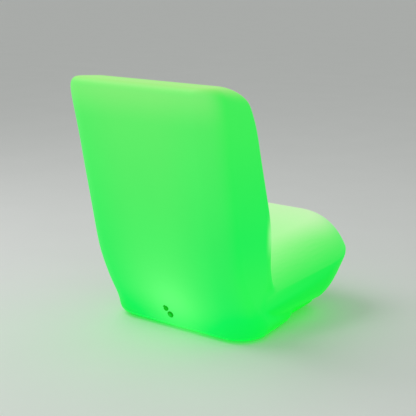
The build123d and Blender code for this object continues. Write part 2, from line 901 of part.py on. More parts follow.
def make_board_screws():
    """Screws of the driver board."""
    screw = pan_screw(
        board_screw_radius, board_screw_length, board_head_radius, board_head_height,
        small_drive_flats, small_drive_depth,
    )
    return [Pos(x, y, control_top) * Rot(180, 0, 0) * screw for x, y in posts]


def make_board_plugs():
    """Four connectors at the board's ends, flush with the cover."""
    shapes = []
    for x in plug_x:
        for side in (-1, 1):
            ends = (hatch_y + side * cover_reach, hatch_y + side * (cover_reach - plug_depth))
            low, high = sorted(ends)
            half = plug_width / 2
            shapes.append(block(x - half, x + half, low, high, control_top, control_top + plug_height))
    return shapes


def make_control_cover():
    """Cover over the driver board, with a slot for each connector and two screw tabs."""
    side_gap = cover_gap + cover_wall
    low_x, high_x = board_low_x - side_gap, board_high_x + side_gap
    top = hatch_top + cover_height
    cover = block(low_x, high_x, hatch_y - cover_reach, hatch_y + cover_reach, hatch_top, top)
    inside = cover_reach - cover_wall
    cover -= block(
        low_x + cover_wall, high_x - cover_wall, hatch_y - inside, hatch_y + inside,
        hatch_top - overrun, top - cover_wall,
    )
    slot_half = plug_width / 2 + plug_slot_gap
    slot_low, slot_high = control_top - plug_slot_gap, control_top + plug_height + plug_slot_gap
    for x in plug_x:
        for side in (-1, 1):
            ends = (hatch_y + side * (inside - overrun), hatch_y + side * (cover_reach + overrun))
            low, high = sorted(ends)
            cover -= block(x - slot_half, x + slot_half, low, high, slot_low, slot_high)
    for x, y in cover_screws:
        half, reach = cover_tab_width / 2, cover_tab / 2
        tab = block(x - half, x + half, y - reach, y + reach, hatch_top, tab_top)
        cover += tab - disc(clear_hole_radius, hatch_top - overrun, tab_top + overrun, x, y)
    return cover


def make_cover_screws():
    """Screws through the cover's tabs."""
    screw = small_pan(cover_screw_length)
    return [Pos(x, y, tab_top) * Rot(180, 0, 0) * screw for x, y in cover_screws]


# Power switch, modelled with local +Z pointing out of the shell

switch_top = switch_seal + switch_flange
chamber_top = switch_top - switch_lip
chamber_low = switch_floor - switch_barrel_length
collar_top = chamber_top - button_stop_gap
collar_low = collar_top - button_collar
button_top = switch_top + button_proud
stem_low = collar_low + button_pocket - stem_length
bridge_low = stem_low - bridge_thickness
blade_top = bridge_low - button_travel - blade_gap
blade_low = -switch_barrel_length - blade_tail
plug_top = -switch_barrel_length - lead_plug_stop


def make_switch_body():
    """Round housing with a flange outside and a threaded barrel through the shell."""
    body = disc(switch_flange_radius, switch_seal, switch_top)
    body = chamfer(body.edges().group_by(Axis.Z)[-1], switch_edge)
    body += disc(switch_barrel_radius, -switch_barrel_length, switch_seal)
    body -= disc(button_radius + running_gap, chamber_low, switch_top + overrun)
    body -= disc(switch_chamber_radius, chamber_low, chamber_top)
    for blade in make_blade_forms(blade_gap):
        body -= blade
    return body


def make_blade_forms(gap):
    """Two flat contact blades through the floor of the housing, grown by a gap."""
    x, y = blade_thickness / 2 + gap, blade_width / 2 + gap
    middles = (-blade_x, blade_x)
    return [block(m - x, m + x, -y, y, blade_low - gap, blade_top) for m in middles]


def make_button():
    """Push button held in by its collar, with a pocket for the spring and a stem."""
    button = disc(button_radius, collar_top, button_top)
    button = fillet(button.edges().group_by(Axis.Z)[-1], button_edge)
    button += disc(button_collar_radius, collar_low, collar_top)
    button -= disc(button_pocket_radius, collar_low - overrun, collar_low + button_pocket)
    return button + disc(stem_radius, stem_low, collar_low + button_pocket)


def make_spring():
    """Coil spring between the housing's floor and the button."""
    low = chamber_low + spring_wire + blade_gap
    high = collar_low + button_pocket - spring_wire - blade_gap
    pitch = (high - low) / spring_turns
    radius = spring_radius - spring_wire
    path = Helix(pitch, high - low, radius)
    path = Pos(0, 0, low) * path
    return sweep(Plane(origin=path @ 0, z_dir=path % 0) * Circle(spring_wire), path, is_frenet=True)


def make_nut(flats, thickness, bore):
    """Thin hexagonal nut against the inside of the shell's pad."""
    nut = hexagon(flats, -panel_pad - thickness, -panel_pad)
    return nut - disc(bore + thread_gap, -panel_pad - thickness - overrun, overrun - panel_pad)


def make_seal(flange, width, barrel, thickness):
    """Flat ring seal under a flange."""
    outer = flange - seat_margin
    return tube(outer, max(outer - width, barrel + thread_gap), 0, thickness)


def make_lead_plug(top, tails):
    """Moulded plug pushed over the tails of the contacts."""
    half_x, half_y = lead_plug_width / 2, lead_plug_depth / 2
    plug = block(-half_x, half_x, -half_y, half_y, top - lead_plug_length, top)
    for tail in tails:
        plug -= tail
    return plug


# Charging socket, modelled with its hinge towards local +Y

socket_top = socket_seal + socket_flange
bore_low = socket_floor - socket_barrel_length
hinge_z = socket_top + hinge_rise
ear_low = seat_sink + ear_lift
ear_reach = knuckle_half + ear_gap + ear_thickness
cap_low = socket_top + cap_lift
socket_plug_top = -socket_barrel_length - lead_plug_stop
tail_low = -socket_barrel_length - blade_tail
terminal_x = (socket_bore_radius + socket_barrel_radius) / 2
terminal_top = bore_low + blade_tail / 2


def across(radius, low, high):
    """Round bar along local X at the hinge."""
    bar = Rot(0, 90, 0) * extrude(Circle(radius), (high - low) / 2, both=True)
    return Pos((low + high) / 2, hinge_reach, hinge_z) * bar


def make_socket_body():
    """Housing of the charging socket, with two hinge ears on its flange."""
    body = disc(socket_flange_radius, socket_seal, socket_top)
    body = chamfer(body.edges().group_by(Axis.Z)[-1], socket_edge)
    body += disc(socket_barrel_radius, -socket_barrel_length, socket_seal)
    inside = socket_flange_radius - ear_thickness
    outside = hinge_reach + knuckle_radius
    inner_x = knuckle_half + ear_gap
    for side in (-1, 1):
        low, high = sorted((side * inner_x, side * ear_reach))
        body += block(low, high, inside, outside, ear_low, socket_top)
        body += block(low, high, hinge_reach - knuckle_radius, outside, ear_low, hinge_z)
        body += across(knuckle_radius, low, high)
    body -= across(hinge_pin_radius + thread_gap, -ear_reach - overrun, ear_reach + overrun)
    body -= disc(socket_bore_radius, bore_low, socket_top + overrun)
    body -= disc(pin_radius + thread_gap, -socket_barrel_length - overrun, bore_low + overrun)
    return body - make_terminal_form(blade_gap)


def make_terminal_form(gap):
    """Side terminal of the socket, grown by a gap."""
    x, y = blade_thickness / 2 + gap, blade_width / 2 + gap
    return block(terminal_x - x, terminal_x + x, -y, y, tail_low - gap, terminal_top + gap)


def make_socket_pin():
    """Centre contact of the socket."""
    pin = disc(pin_radius, tail_low, socket_top - pin_recess)
    return fillet(pin.edges().group_by(Axis.Z)[-1], pin_radius / 2)


def make_cap():
    """Hinged dust cap with a short stopper and a knuckle."""
    cap = disc(cap_radius, cap_low, cap_low + cap_thickness)
    cap = fillet(cap.edges().group_by(Axis.Z)[-1], cap_edge)
    cap += disc(cap_stem_radius, cap_low - cap_stem, cap_low)
    arm_low = cap_radius - cap_thickness
    cap += block(-knuckle_half, knuckle_half, arm_low, hinge_reach, cap_low, cap_low + cap_thickness)
    cap += across(knuckle_radius, -knuckle_half, knuckle_half)
    return cap - across(hinge_pin_radius + hinge_pin_gap, -knuckle_half - overrun, knuckle_half + overrun)


def make_hinge_pin():
    """Pin of the cap's hinge, held in the ears."""
    return across(hinge_pin_radius, -ear_reach, ear_reach)


# Leads inside the shell

def point_in(place, depth):
    """Point on a fitting's own axis, at a depth inside the shell."""
    return tuple((place * Pos(0, 0, -depth)).position)


rear_plug_y = hatch_y - cover_reach
front_plug_y = hatch_y + cover_reach
rim_y = hatch_y - hatch_opening
guard_y = hatch_y + cell_length / 2 + link_thickness + guard_thickness
guard_lead_x = (cells[0] + cells[-1] + guard_length) / 2 - 2 * lead_radius


def make_switch_lead():
    """Lead from the switch over the hatch's rim to the driver board."""
    start = -plug_top + lead_plug_length
    points = [point_in(switch_place, start), point_in(switch_place, start + lead_loop * 1.5)]
    points.append((board_low_x - post_inset, rim_y, lead_low))
    points.append((plug_x[0], rear_plug_y - lead_loop * 1.5, plug_z))
    points.append((plug_x[0], rear_plug_y, plug_z))
    return lead(points)


def make_charge_lead():
    """Lead from the charging socket over the hatch's rim to the driver board."""
    start = -socket_plug_top + lead_plug_length
    points = [point_in(socket_place, start), point_in(socket_place, start + lead_loop * 1.5)]
    points.append((plug_x[0], rim_y - lead_loop * 1.5, lead_high))
    points.append((plug_x[0], rim_y, lead_low))
    points.append((plug_x[1], rear_plug_y - lead_loop * 1.5, plug_z))
    points.append((plug_x[1], rear_plug_y, plug_z))
    return lead(points)


def make_battery_lead():
    """Lead from the protection board round to the driver board."""
    far = front_plug_y + lead_loop
    points = [(guard_lead_x, guard_y, cell_z), (guard_lead_x, far, cell_z)]
    points += [(plug_x[0], far, plug_z), (plug_x[0], front_plug_y, plug_z)]
    return lead(points)


def make_light_lead():
    """Lead from the driver board up through the plate to the light board."""
    far = front_plug_y + lead_loop
    points = [(plug_x[1], front_plug_y, plug_z), (plug_x[1], far, plug_z)]
    points += [(plug_x[1], far, lead_level), (0, hatch_y, lead_level), (0, hatch_y, board_top)]
    return lead(points)


# Every piece under its own name

blades = make_blade_forms(0)
terminal = make_terminal_form(0)
socket_pin = make_socket_pin()
switch_tails = make_blade_forms(blade_gap)
pin_hole = disc(pin_radius + blade_gap, tail_low - blade_gap, socket_plug_top + overrun)
socket_tails = [make_terminal_form(blade_gap), pin_hole]
bridge = disc(bridge_radius, bridge_low, stem_low)

pieces = {
    "seat_shell": make_shell(),
    "hatch_inserts": together(make_inserts(hatch_screws, gasket_top)),
    "foot_inserts": together(make_inserts(feet, pocket_top)),
    "foot_pads": together(make_feet()),
    "foot_screws": together(make_foot_screws()),
    "breather_plug": make_vent(),
    "breather_membrane": make_membrane(),
    "base_hatch": make_hatch(),
    "hatch_gasket": make_gasket(),
    "hatch_screws": together(make_hatch_screws()),
    "module_pillars": together(make_pillars()),
    "heat_plate": make_heat_plate(),
    "light_board": make_light_board(),
    "light_chips": together(make_lights()),
    "light_plug": make_light_plug(),
    "diffuser_dome": make_dome(),
    "module_screws": together(make_module_screws()),
    "battery_tray": make_tray(),
    "tray_screws": together(make_tray_screws()),
    "battery_cells": together(make_cells()),
    "battery_sleeve": make_sleeve(),
    "battery_links": together(make_links()),
    "battery_guard": make_guard(),
    "battery_strap": make_strap(),
    "control_board": make_control_board(),
    "control_parts": together(make_control_parts()),
    "receiver_board": make_receiver(),
    "board_screws": together(make_board_screws()),
    "board_plugs": together(make_board_plugs()),
    "control_cover": make_control_cover(),
    "cover_screws": together(make_cover_screws()),
    "switch_body": switch_place * make_switch_body(),
    "switch_button": switch_place * make_button(),
    "switch_bridge": switch_place * bridge,
    "switch_spring": switch_place * make_spring(),
    "switch_contacts": together([switch_place * blade for blade in blades]),
    "switch_seal": switch_place * make_seal(
        switch_flange_radius, switch_seal_width, switch_barrel_radius, switch_seal
    ),
    "switch_nut": switch_place * make_nut(switch_nut_flats, nut_thickness, switch_barrel_radius),
    "switch_plug": switch_place * make_lead_plug(plug_top, switch_tails),
    "socket_body": socket_place * make_socket_body(),
    "socket_pin": socket_place * socket_pin,
    "socket_terminal": socket_place * terminal,
    "socket_seal": socket_place * make_seal(
        socket_flange_radius, socket_seal_width, socket_barrel_radius, socket_seal
    ),
    "socket_nut": socket_place * make_nut(
        socket_nut_flats, socket_nut_thickness, socket_barrel_radius
    ),
    "socket_plug": socket_place * make_lead_plug(socket_plug_top, socket_tails),
    "socket_cap": socket_place * make_cap(),
    "cap_hinge_pin": socket_place * make_hinge_pin(),
    "switch_lead": make_switch_lead(),
    "charge_lead": make_charge_lead(),
    "battery_lead": make_battery_lead(),
    "light_lead": make_light_lead(),
}

# Move all along Y to centre the seat on the origin, and write one file for each piece
box = pieces["seat_shell"].bounding_box()
middle = (box.min.Y + box.max.Y) / 2
os.makedirs("parts", exist_ok=True)
for name, shape in pieces.items():
    export_step(Pos(0, -middle, 0) * shape, f"parts/{name}.step")

# Places that a user of the seat needs, in the exported frame
print("moved along Y by", round(-middle, 3))
print("whole size", box.size)
for label, place in (("switch", switch_place), ("socket", socket_place)):
    origin, tip = place.position, (place * Pos(0, 0, 1)).position
    print(label, "seat", origin - Vector(0, middle, 0), "axis", tip - origin)
hinge = socket_place * Pos(0, hinge_reach, hinge_z)
side = socket_place * Pos(1, hinge_reach, hinge_z)
print("cap hinge", hinge.position - Vector(0, middle, 0), "axis", side.position - hinge.position)
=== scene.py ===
"""Looks of a light-up lounge seat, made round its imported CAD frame.

The seat is one hollow moulded shell that glows green from the light module in its base.
Sizes are in metres. +Z is up, +Y is the way a sitter faces, and the origin is on the
floor under the middle of the seat.
"""

from __future__ import annotations

import json
import logging
import math
from dataclasses import dataclass
from enum import Enum
from typing import Any, Iterable, Mapping, Sequence, Union

import bmesh
import bpy
from mathutils import Matrix, Vector


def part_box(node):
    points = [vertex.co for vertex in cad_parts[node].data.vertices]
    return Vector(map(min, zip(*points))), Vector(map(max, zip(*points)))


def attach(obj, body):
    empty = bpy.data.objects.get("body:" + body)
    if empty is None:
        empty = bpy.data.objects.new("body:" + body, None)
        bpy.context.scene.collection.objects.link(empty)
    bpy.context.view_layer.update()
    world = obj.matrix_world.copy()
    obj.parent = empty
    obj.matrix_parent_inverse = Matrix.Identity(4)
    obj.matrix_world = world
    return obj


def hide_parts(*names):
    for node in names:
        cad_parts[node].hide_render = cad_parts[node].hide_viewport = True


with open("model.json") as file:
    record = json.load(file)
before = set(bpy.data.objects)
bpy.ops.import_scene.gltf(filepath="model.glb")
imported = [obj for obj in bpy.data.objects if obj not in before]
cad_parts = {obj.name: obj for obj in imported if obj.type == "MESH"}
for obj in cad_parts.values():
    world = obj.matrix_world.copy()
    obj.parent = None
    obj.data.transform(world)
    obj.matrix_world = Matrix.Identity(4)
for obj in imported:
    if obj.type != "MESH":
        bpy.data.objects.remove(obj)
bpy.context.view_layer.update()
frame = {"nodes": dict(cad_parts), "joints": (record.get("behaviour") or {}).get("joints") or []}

log = logging.getLogger("seat")

Colour = tuple[float, float, float]
Point = tuple[float, float, float]
Span = tuple[float, float]
Key = Union[str, int]
Term = Union["Signal", float]

MIX_FIRST, MIX_SECOND, MIX_RESULT = 6, 7, 2  # A Mix node's colour sockets.
DISTANCE_RESULT = 1  # A Vector Math node's number, beside its vector.
WELD = 1e-6  # Points nearer than this are one point.


class Sum(Enum):
    """The operations that shader maths uses."""

    ADD = "ADD"
    SUBTRACT = "SUBTRACT"
    MULTIPLY = "MULTIPLY"
    DIVIDE = "DIVIDE"
    POWER = "POWER"
    HIGHER = "MAXIMUM"


class Texture(Enum):
    """The fine surface patterns that a finish can carry."""

    GRAIN = "grain"
    BRUSHED = "brushed"
    WOVEN = "woven"
    TURNED = "turned"
    SPECKLED = "speckled"


class Signal:
    """A number that varies over a surface, for use in Python arithmetic."""

    def __init__(self, graph: "Graph", socket: bpy.types.NodeSocket) -> None:
        """Wraps an output socket of a graph."""
        self.graph = graph
        self.socket = socket

    def _sum(self, operation: Sum, first: Term, second: Term) -> "Signal":
        """Adds one Math node.

        Args:
            operation: What the node works out.
            first: Its first term.
            second: Its second term.

        Returns:
            The node's result.
        """
        settings = {"operation": operation.value}
        return self.graph.signal("ShaderNodeMath", settings, {0: first, 1: second})

    def __add__(self, other: Term) -> "Signal":
        """self + other."""
        return self._sum(Sum.ADD, self, other)

    def __sub__(self, other: Term) -> "Signal":
        """self - other."""
        return self._sum(Sum.SUBTRACT, self, other)

    def __rsub__(self, other: Term) -> "Signal":
        """other - self."""
        return self._sum(Sum.SUBTRACT, other, self)

    def __mul__(self, other: Term) -> "Signal":
        """self * other."""
        return self._sum(Sum.MULTIPLY, self, other)

    def __truediv__(self, other: Term) -> "Signal":
        """self / other."""
        return self._sum(Sum.DIVIDE, self, other)

    def __rtruediv__(self, other: Term) -> "Signal":
        """other / self."""
        return self._sum(Sum.DIVIDE, other, self)

    def __pow__(self, other: Term) -> "Signal":
        """self ** other."""
        return self._sum(Sum.POWER, self, other)

    def __neg__(self) -> "Signal":
        """-self."""
        return self._sum(Sum.SUBTRACT, 0.0, self)

    def at_least(self, low: Term) -> "Signal":
        """The higher of self and low."""
        return self._sum(Sum.HIGHER, self, low)

    def step(self, start: float, end: float) -> "Signal":
        """Goes smoothly from 0 at start to 1 at end.

        Args:
            start: The value at which the result is 0.
            end: The value at which the result is 1.

        Returns:
            The smooth step.
        """
        return self.graph.signal(
            "ShaderNodeMapRange",
            {"interpolation_type": "SMOOTHSTEP", "clamp": True},
            {"Value": self, "From Min": start, "From Max": end, "To Min": 0.0, "To Max": 1.0},
        )


class Graph:
    """The node tree of one material, with its Principled shader."""

    def __init__(self, name: str) -> None:
        """Makes a material with a fresh tree.

        Args:
            name: The material's name.
        """
        self.material = bpy.data.materials.new(name)
        self.material.use_nodes = True
        self.tree = self.material.node_tree
        self.tree.nodes.clear()
        self.shader = self.node("ShaderNodeBsdfPrincipled", {}, {})
        self.node("ShaderNodeOutputMaterial", {}, {"Surface": Signal(self, self.shader.outputs[0])})

    def node(
        self, kind: str, settings: Mapping[str, Any], sockets: Mapping[Key, Any]
    ) -> bpy.types.Node:
        """Adds any node.

        Args:
            kind: The node's type.
            settings: Its properties.
            sockets: The values or links of its inputs, by name or number.

        Returns:
            The new node.
        """
        made = self.tree.nodes.new(kind)
        for name, value in settings.items():
            setattr(made, name, value)
        for key, value in sockets.items():
            if isinstance(value, Signal):
                self.tree.links.new(value.socket, made.inputs[key])
            else:
                made.inputs[key].default_value = value
        return made

    def signal(
        self, kind: str, settings: Mapping[str, Any], sockets: Mapping[Key, Any], output: Key = 0
    ) -> Signal:
        """Adds any node and returns one of its outputs.

        Args:
            kind: The node's type.
            settings: Its properties.
            sockets: The values or links of its inputs.
            output: The name or number of the output.

        Returns:
            The output.
        """
        return Signal(self, self.node(kind, settings, sockets).outputs[output])

    def place(self) -> Signal:
        """The point on the surface, in the object's own frame."""
        return self.signal("ShaderNodeTexCoord", {}, {}, "Object")

    def parts(self, vector: Signal) -> tuple[Signal, Signal, Signal]:
        """Splits a vector.

        Args:
            vector: The vector.

        Returns:
            Its three components.
        """
        made = self.node("ShaderNodeSeparateXYZ", {}, {0: vector})
        x, y, z = (Signal(self, output) for output in made.outputs)
        return x, y, z

    def stretched(self, vector: Signal, scale: Point) -> Signal:
        """A vector times a scale for each axis."""
        return self.signal("ShaderNodeVectorMath", {"operation": "MULTIPLY"}, {0: vector, 1: scale})

    def distance(self, vector: Signal, point: Point) -> Signal:
        """How far a vector is from a point."""
        settings = {"operation": "DISTANCE"}
        return self.signal("ShaderNodeVectorMath", settings, {0: vector, 1: point}, DISTANCE_RESULT)

    def wave(self, angle: Signal) -> Signal:
        """The sine of an angle, from -1 to 1."""
        return self.signal("ShaderNodeMath", {"operation": "SINE"}, {0: angle})

    def noise(self, vector: Signal, scale: float, detail: float) -> Signal:
        """Smooth noise from 0 to 1.

        Args:
            vector: Where it is read.
            scale: How fine it is, in repeats over a metre.
            detail: How many finer layers it has.

        Returns:
            The noise.
        """
        sockets = {"Vector": vector, "Scale": scale, "Detail": detail}
        return self.signal("ShaderNodeTexNoise", {"noise_dimensions": "3D"}, sockets)

    def mixed(self, factor: Term, first: Colour, second: Colour) -> Signal:
        """Mixes two colours.

        Args:
            factor: The share of the second.
            first: The first colour.
            second: The second colour.

        Returns:
            The mixed colour.
        """
        settings = {"data_type": "RGBA", "clamp_factor": True}
        sockets = {0: factor, MIX_FIRST: (*first, 1.0), MIX_SECOND: (*second, 1.0)}
        return self.signal("ShaderNodeMix", settings, sockets, MIX_RESULT)

    def joined(self, red: Term, green: Term, blue: Term) -> Signal:
        """A colour from three numbers."""
        return self.signal("ShaderNodeCombineColor", {}, {0: red, 1: green, 2: blue})

    def set(self, sockets: Mapping[str, Any]) -> None:
        """Sets or links sockets of the shader.

        Args:
            sockets: Values or links by socket name.
        """
        for name, value in sockets.items():
            if isinstance(value, Signal):
                self.tree.links.new(value.socket, self.shader.inputs[name])
            else:
                self.shader.inputs[name].default_value = value

    def bump(self, height: Signal, strength: float, distance: float) -> None:
        """Raises the surface by a height map.

        Args:
            height: The map, from 0 to 1.
            strength: How strongly it shows.
            distance: Its depth in metres.
        """
        sockets = {"Height": height, "Strength": strength, "Distance": distance}
        self.set({"Normal": self.signal("ShaderNodeBump", {}, sockets)})


@dataclass(frozen=True)
class FinePattern:
    """What all finishes of the smaller pieces share.

    Cloud is the coarse unevenness and pattern is the fine one. Each has its share of the wear
    and of the change in roughness.
    """

    brushed_stretch: Point = (1.0, 0.06, 1.0)
    brushed_detail: float = 3.0
    grain_detail: float = 4.0
    cloud_detail: float = 3.0
    cloud_size: float = 12.0
    cloud_wear: float = 0.7
    pattern_wear: float = 0.3
    wear: Span = (0.35, 0.8)
    cloud_roughness: float = 0.16
    pattern_roughness: float = 0.06
    mean_roughness: float = 0.11
    strength: float = 0.5


FINE = FinePattern()


@dataclass(frozen=True)
class Finish:
    """A finish with a fine pattern, used on the smaller pieces."""

    name: str
    colour: Colour
    worn: Colour
    roughness: float
    texture: Texture = Texture.GRAIN
    scale: float = 900.0
    depth: float = 0.00003
    metallic: float = 0.0
    coat: float = 0.0
    glow_and_painted_light: float = 0.0
    glow_and_painted_light_colour: Colour = (0.0, 0.0, 0.0)
    sheen: float = 0.5

    def pattern(self, graph: Graph) -> Signal:
        """The fine pattern.

        Args:
            graph: The material's nodes.

        Returns:
            The pattern's height, from 0 to 1.
        """
        place = graph.place()
        if self.texture is Texture.BRUSHED:
            brushed = graph.stretched(place, FINE.brushed_stretch)
            return graph.noise(brushed, self.scale, FINE.brushed_detail)
        if self.texture is Texture.WOVEN:
            x, y, z = graph.parts(place)
            return graph.wave((x + z) * self.scale) * graph.wave(y * self.scale) * 0.5 + 0.5
        if self.texture is Texture.TURNED:
            x, y, z = graph.parts(place)
            far = graph.signal("ShaderNodeMath", {"operation": "SQRT"}, {0: x * x + y * y})
            return graph.wave((far + z) * self.scale) * 0.5 + 0.5
        if self.texture is Texture.SPECKLED:
            return graph.signal("ShaderNodeTexVoronoi", {}, {"Vector": place, "Scale": self.scale})
        return graph.noise(place, self.scale, FINE.grain_detail)

    def material(self) -> bpy.types.Material:
        """Builds the finish.

        Returns:
            The material.
        """
        graph = Graph(self.name)
        pattern = self.pattern(graph)
        cloud = graph.noise(graph.place(), self.scale / FINE.cloud_size, FINE.cloud_detail)
        wear = (cloud * FINE.cloud_wear + pattern * FINE.pattern_wear).step(*FINE.wear)
        uneven = cloud * FINE.cloud_roughness + pattern * FINE.pattern_roughness
        graph.set(
            {
                "Base Color": graph.mixed(wear, self.colour, self.worn),
                "Roughness": uneven + (self.roughness - FINE.mean_roughness),
                "Metallic": self.metallic,
                "Coat Weight": self.coat,
                "Specular IOR Level": self.sheen,
            }
        )
        # Emission: the real light of lamp parts, and painted light on parts that are only lit by
        # the shell round them.
        if self.glow_and_painted_light > 0:
            graph.set({"Emission Color": (*self.glow_and_painted_light_colour, 1.0), "Emission Strength": self.glow_and_painted_light})
        graph.bump(pattern, FINE.strength, self.depth)
        return graph.material


# The red, green and blue that each feature of the surface adds to the emission. It is partly the
# real glow of the lamp inside and partly painted light: the crown terms paint light from above on
# upward faces, and the panel and underside terms paint light and shade by which way the wall faces.
GLOW_AND_PAINTED_LIGHT_SHARES: dict[str, Colour] = {
    "everywhere": (-0.023, 0.633, 0.043),
    "height": (0.097, 0.021, 0.031),
    "panel": (0.002, -0.076, 0.02),
    "high panel": (0.042, 0.003, 0.024),
    "panel's sides": (-0.023, 0.009, -0.007),
    "panel's top": (0.096, 0.008, 0.04),
    "top's crown": (0.289, -0.095, 0.101),
    "cushion's crown": (0.345, 0.01, 0.224),
    "cushion": (0.342, 0.146, 0.245),
    "cushion's front": (-0.128, -0.214, -0.086),
    "near the lamp": (0.226, 0.395, 0.191),
    "foot of the wall": (-0.029, 0.007, -0.018),
    "underside": (0.008, 0.008, -0.002),
    "cushion's underside": (-0.019, -0.032, -0.019),
    "upper flanks": (-0.024, -0.029, 0.003),
}


@dataclass(frozen=True)
class GlowAndPaintedLightSpans:
    """Where each part of the surface starts, and where it holds in full.

    A facing is a component of the surface's normal, and a level is a share of the whole height.
    The rest are places in metres.
    """

    rest_facing: Span = (0.4, 0.8)
    rest_ahead: Span = (0.02, 0.12)
    cushion_rear: Span = (-0.13, -0.1)
    cushion_above: Span = (0.34, 0.42)
    cushion_raised: Span = (0.25, 0.34)
    cushion_front: Span = (-0.245, 0.057)
    panel_facing: Span = (0.0, 1.0)
    panel_sides: Span = (0.052, 0.261)
    top_level: Span = (0.838, 1.0)
    flank_level: Span = (0.156, 0.45)
    under_facing: Span = (0.0, 0.271)
    wall_foot: Span = (0.0, 0.14)


@dataclass(frozen=True)
class GlowAndPaintedLightSkin:
    """Translucent moulded skin with green light behind it.

    The glow is strongest near the lamp and deep green low down. The wall is paler where it faces
    up, which is painted light from above, and the terms that follow the way the wall faces paint
    its light and shade.
    Each named feature of the surface adds its share of red, green and blue.
    """

    name: str = "glow_and_painted_light_skin"
    base: Colour = (0.002, 0.36, 0.028)
    cloudy: Colour = (0.004, 0.39, 0.034)
    detail: float = 3.0
    grain: float = 1500.0
    grain_depth: float = 0.00006
    grain_strength: float = 0.25
    cloud: float = 5.0
    cloud_detail: float = 2.0
    unevenness: float = 0.02
    roughness: float = 0.4
    roughness_scale: float = 60.0
    roughness_change: float = 0.08
    sheen: float = 0.12
    lamp: Point = (0.019, -0.163, 0.126)
    lamp_reach: float = 0.09
    height: float = 0.8
    # How quickly the painted light from above fades as the wall turns away from facing up.
    painted_light_from_above_power: float = 2.579
    spans: GlowAndPaintedLightSpans = GlowAndPaintedLightSpans()

    def material(self) -> bpy.types.Material:
        """Builds the skin.

        Returns:
            The material.
        """
        graph = Graph(self.name)
        place = graph.place()
        cloud = graph.noise(place, self.cloud, self.cloud_detail) - 0.5
        rough = graph.noise(place, self.roughness_scale, self.detail)
        grain = graph.noise(place, self.grain, self.detail)
        red, green, blue = self.glow_and_painted_light(graph, place)
        light = (red, green + cloud * self.unevenness, blue)
        graph.set(
            {
                "Base Color": graph.mixed(cloud + 0.5, self.base, self.cloudy),
                "Roughness": rough * self.roughness_change + self.roughness,
                "Emission Color": graph.joined(*(channel.at_least(0.0) for channel in light)),
                "Emission Strength": 1.0,
                "Specular IOR Level": self.sheen,
            }
        )
        graph.bump(grain, self.grain_strength, self.grain_depth)
        return graph.material

    def glow_and_painted_light(self, graph: Graph, place: Signal) -> list[Signal]:
        """The emission colour: the green light that comes through the wall, with painted light from
        above and painted shade by facing added to it.

        Args:
            graph: The material's nodes.
            place: The point on the surface.

        Returns:
            Its red, green and blue.
        """
        features = self.features(graph, place)
        channels = []
        for channel, amount in enumerate(GLOW_AND_PAINTED_LIGHT_SHARES["everywhere"]):
            total: Term = amount
            for name, feature in features.items():
                total = feature * GLOW_AND_PAINTED_LIGHT_SHARES[name][channel] + total
            channels.append(total)
        return channels

    def features(self, graph: Graph, place: Signal) -> dict[str, Signal]:
        """How far each named feature of the surface holds at a point, from 0 to about 1.

        Args:
            graph: The material's nodes.
            place: The point on the surface.

        Returns:
            The features by name.
        """
        span = self.spans
        x, y, z = graph.parts(place)
        _, ahead, up = graph.parts(graph.signal("ShaderNodeNewGeometry", {}, {}, "Normal"))
        across = x.at_least(-x)
        level = z / self.height
        rest_front = ahead.step(*span.rest_facing) * (1.0 - y.step(*span.rest_ahead))
        cushion = y.step(*span.cushion_rear) * (1.0 - z.step(*span.cushion_above))
        cushion = cushion * (1.0 - rest_front)
        raised = cushion * z.step(*span.cushion_raised)
        # Painted light and shade: the panel terms change the emission with which way the wall
        # faces.
        panel = ahead.at_least(-ahead).step(*span.panel_facing) * (1.0 - cushion)
        # Painted light from above: the wall grows paler as it faces up.
        painted_light_from_above = up.at_least(0.0) ** self.painted_light_from_above_power
        top = level.step(*span.top_level)
        # Painted shade on faces that look down, strongest under the cushion.
        under = (-up).step(*span.under_facing)
        far = graph.distance(place, self.lamp) / self.lamp_reach
        return {
            "height": level,
            "panel": panel,
            "high panel": panel * level,
            "panel's sides": panel * across.step(*span.panel_sides),
            "panel's top": panel * top,
            "top's crown": painted_light_from_above * top,
            "cushion's crown": painted_light_from_above * cushion,
            "cushion": raised,
            "cushion's front": raised * y.step(*span.cushion_front),
            "near the lamp": 1.0 / (far * far + 1.0),
            "foot of the wall": 1.0 - z.step(*span.wall_foot),
            "underside": under,
            "cushion's underside": under * cushion,
            "upper flanks": (1.0 - panel) * (1.0 - cushion) * level.step(*span.flank_level),
        }


def dress(names: Iterable[str], finish: Union[Finish, GlowAndPaintedLightSkin]) -> None:
    """Gives CAD nodes a finish.

    Args:
        names: The nodes.
        finish: What they are made of.
    """
    material = finish.material()
    for name in names:
        node = frame["nodes"][name]
        for slot in node.material_slots:
            slot.material = material
        log.info("%s: %s", name, finish.name)


def linked(name: str, data: bpy.types.ID) -> bpy.types.Object:
    """Puts a new object into the scene.

    Args:
        name: The object's name.
        data: Its mesh, lamp or camera.

    Returns:
        The object.
    """
    item = bpy.data.objects.new(name, data)
    bpy.context.scene.collection.objects.link(item)
    return item


def placed(centre: Vector, axis: Vector) -> Matrix:
    """The frame at a centre whose height runs along an axis."""
    return Matrix.Translation(centre) @ axis.to_track_quat("Z", "Y").to_matrix().to_4x4()


PRESS = next(joint for joint in frame["joints"] if joint["name"] == "switch_press")
FACE_OUT = -Vector(PRESS["axis"]).normalized()
DOWN = Vector((0.0, 0.0, -1.0))
UP = Vector((0.0, 0.0, 1.0))


@dataclass
class Bar:
    """A round bar that closes one of the shell's openings while it is remeshed."""

    middle: Vector
    axis: Vector
    radius: float
    length: float
    segments: int = 48

    def fill(self, mesh: bmesh.types.BMesh) -> None:
        """Adds the bar to a mesh.

        Args:
            mesh: The mesh.
        """
        bmesh.ops.create_cone(
            mesh,
            cap_ends=True,
            segments=self.segments,
            radius1=self.radius,
            radius2=self.radius,
            depth=self.length,
            matrix=placed(self.middle, self.axis),
        )


